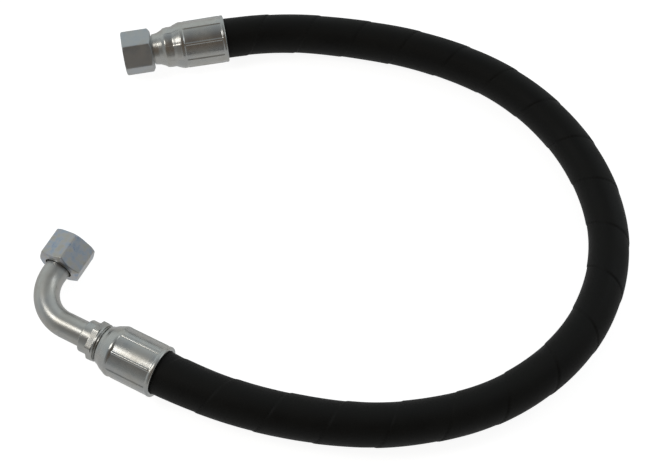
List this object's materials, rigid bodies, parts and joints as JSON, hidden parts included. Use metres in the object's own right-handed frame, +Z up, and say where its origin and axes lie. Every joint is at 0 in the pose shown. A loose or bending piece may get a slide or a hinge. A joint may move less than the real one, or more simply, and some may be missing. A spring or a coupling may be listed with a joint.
{
  "type": "hydraulic hose assembly",
  "caption": "Wire-spiral high-pressure rubber hose with crimped steel ends: a straight swivel nut fitting and a swept 90 degree elbow swivel fitting, lying in a loop.",
  "frame": {"origin": "centre of port A's mouth, on the straight fitting's axis", "axes": "-X out of port A along the straight fitting's axis; +Z up from the surface that the assembly lies on, which is the plane Z = -19.1 mm; both fitting axes lie in Z = 0"},
  "size_m": [0.4445, 0.3873, 0.0382],
  "materials": {
    "cover_rubber": "fabric-wrapped black cover",
    "inner_rubber": "smooth black",
    "brassed_wire": "brass-coated high-tensile wire",
    "zinc_steel": "clear zinc plate",
    "zinc_nut": "clear zinc plate with a faint blue cast",
    "spring_wire": "bright spring wire",
    "braze_metal": "plated braze fillet"
  },
  "bodies": {
    "hose_and_fittings": {"hose_inner_tube": "inner_rubber", "hose_wire_spiral_1": "brassed_wire", "hose_insulation_1": "inner_rubber", "hose_wire_spiral_2": "brassed_wire", "hose_insulation_2": "inner_rubber", "hose_wire_spiral_3": "brassed_wire", "hose_insulation_3": "inner_rubber", "hose_wire_spiral_4": "brassed_wire", "hose_cover": "cover_rubber", "stem_a": "zinc_steel", "ferrule_a": "zinc_steel", "stem_b": "zinc_steel", "ferrule_b": "zinc_steel", "elbow_tube_b": "zinc_steel", "braze_ring_stem_b": "braze_metal", "seat_head_b": "zinc_steel", "braze_ring_seat_b": "braze_metal"},
    "swivel_nut_a": {"nut_a": "zinc_nut", "thrust_wire_a": "spring_wire"},
    "swivel_nut_b": {"nut_b": "zinc_nut"}
  },
  "joints": [
    {"name": "nut_a_swivel", "type": "hinge", "parent": "hose_and_fittings", "child": "swivel_nut_a", "pos_m": [0, 0, 0], "axis": [-1, 0, 0], "continuous": true},
    {"name": "nut_b_swivel", "type": "hinge", "parent": "hose_and_fittings", "child": "swivel_nut_b", "pos_m": [-0.05415, -0.16817, 0], "axis": [0.6183, 0.786, 0], "continuous": true}
  ]
}
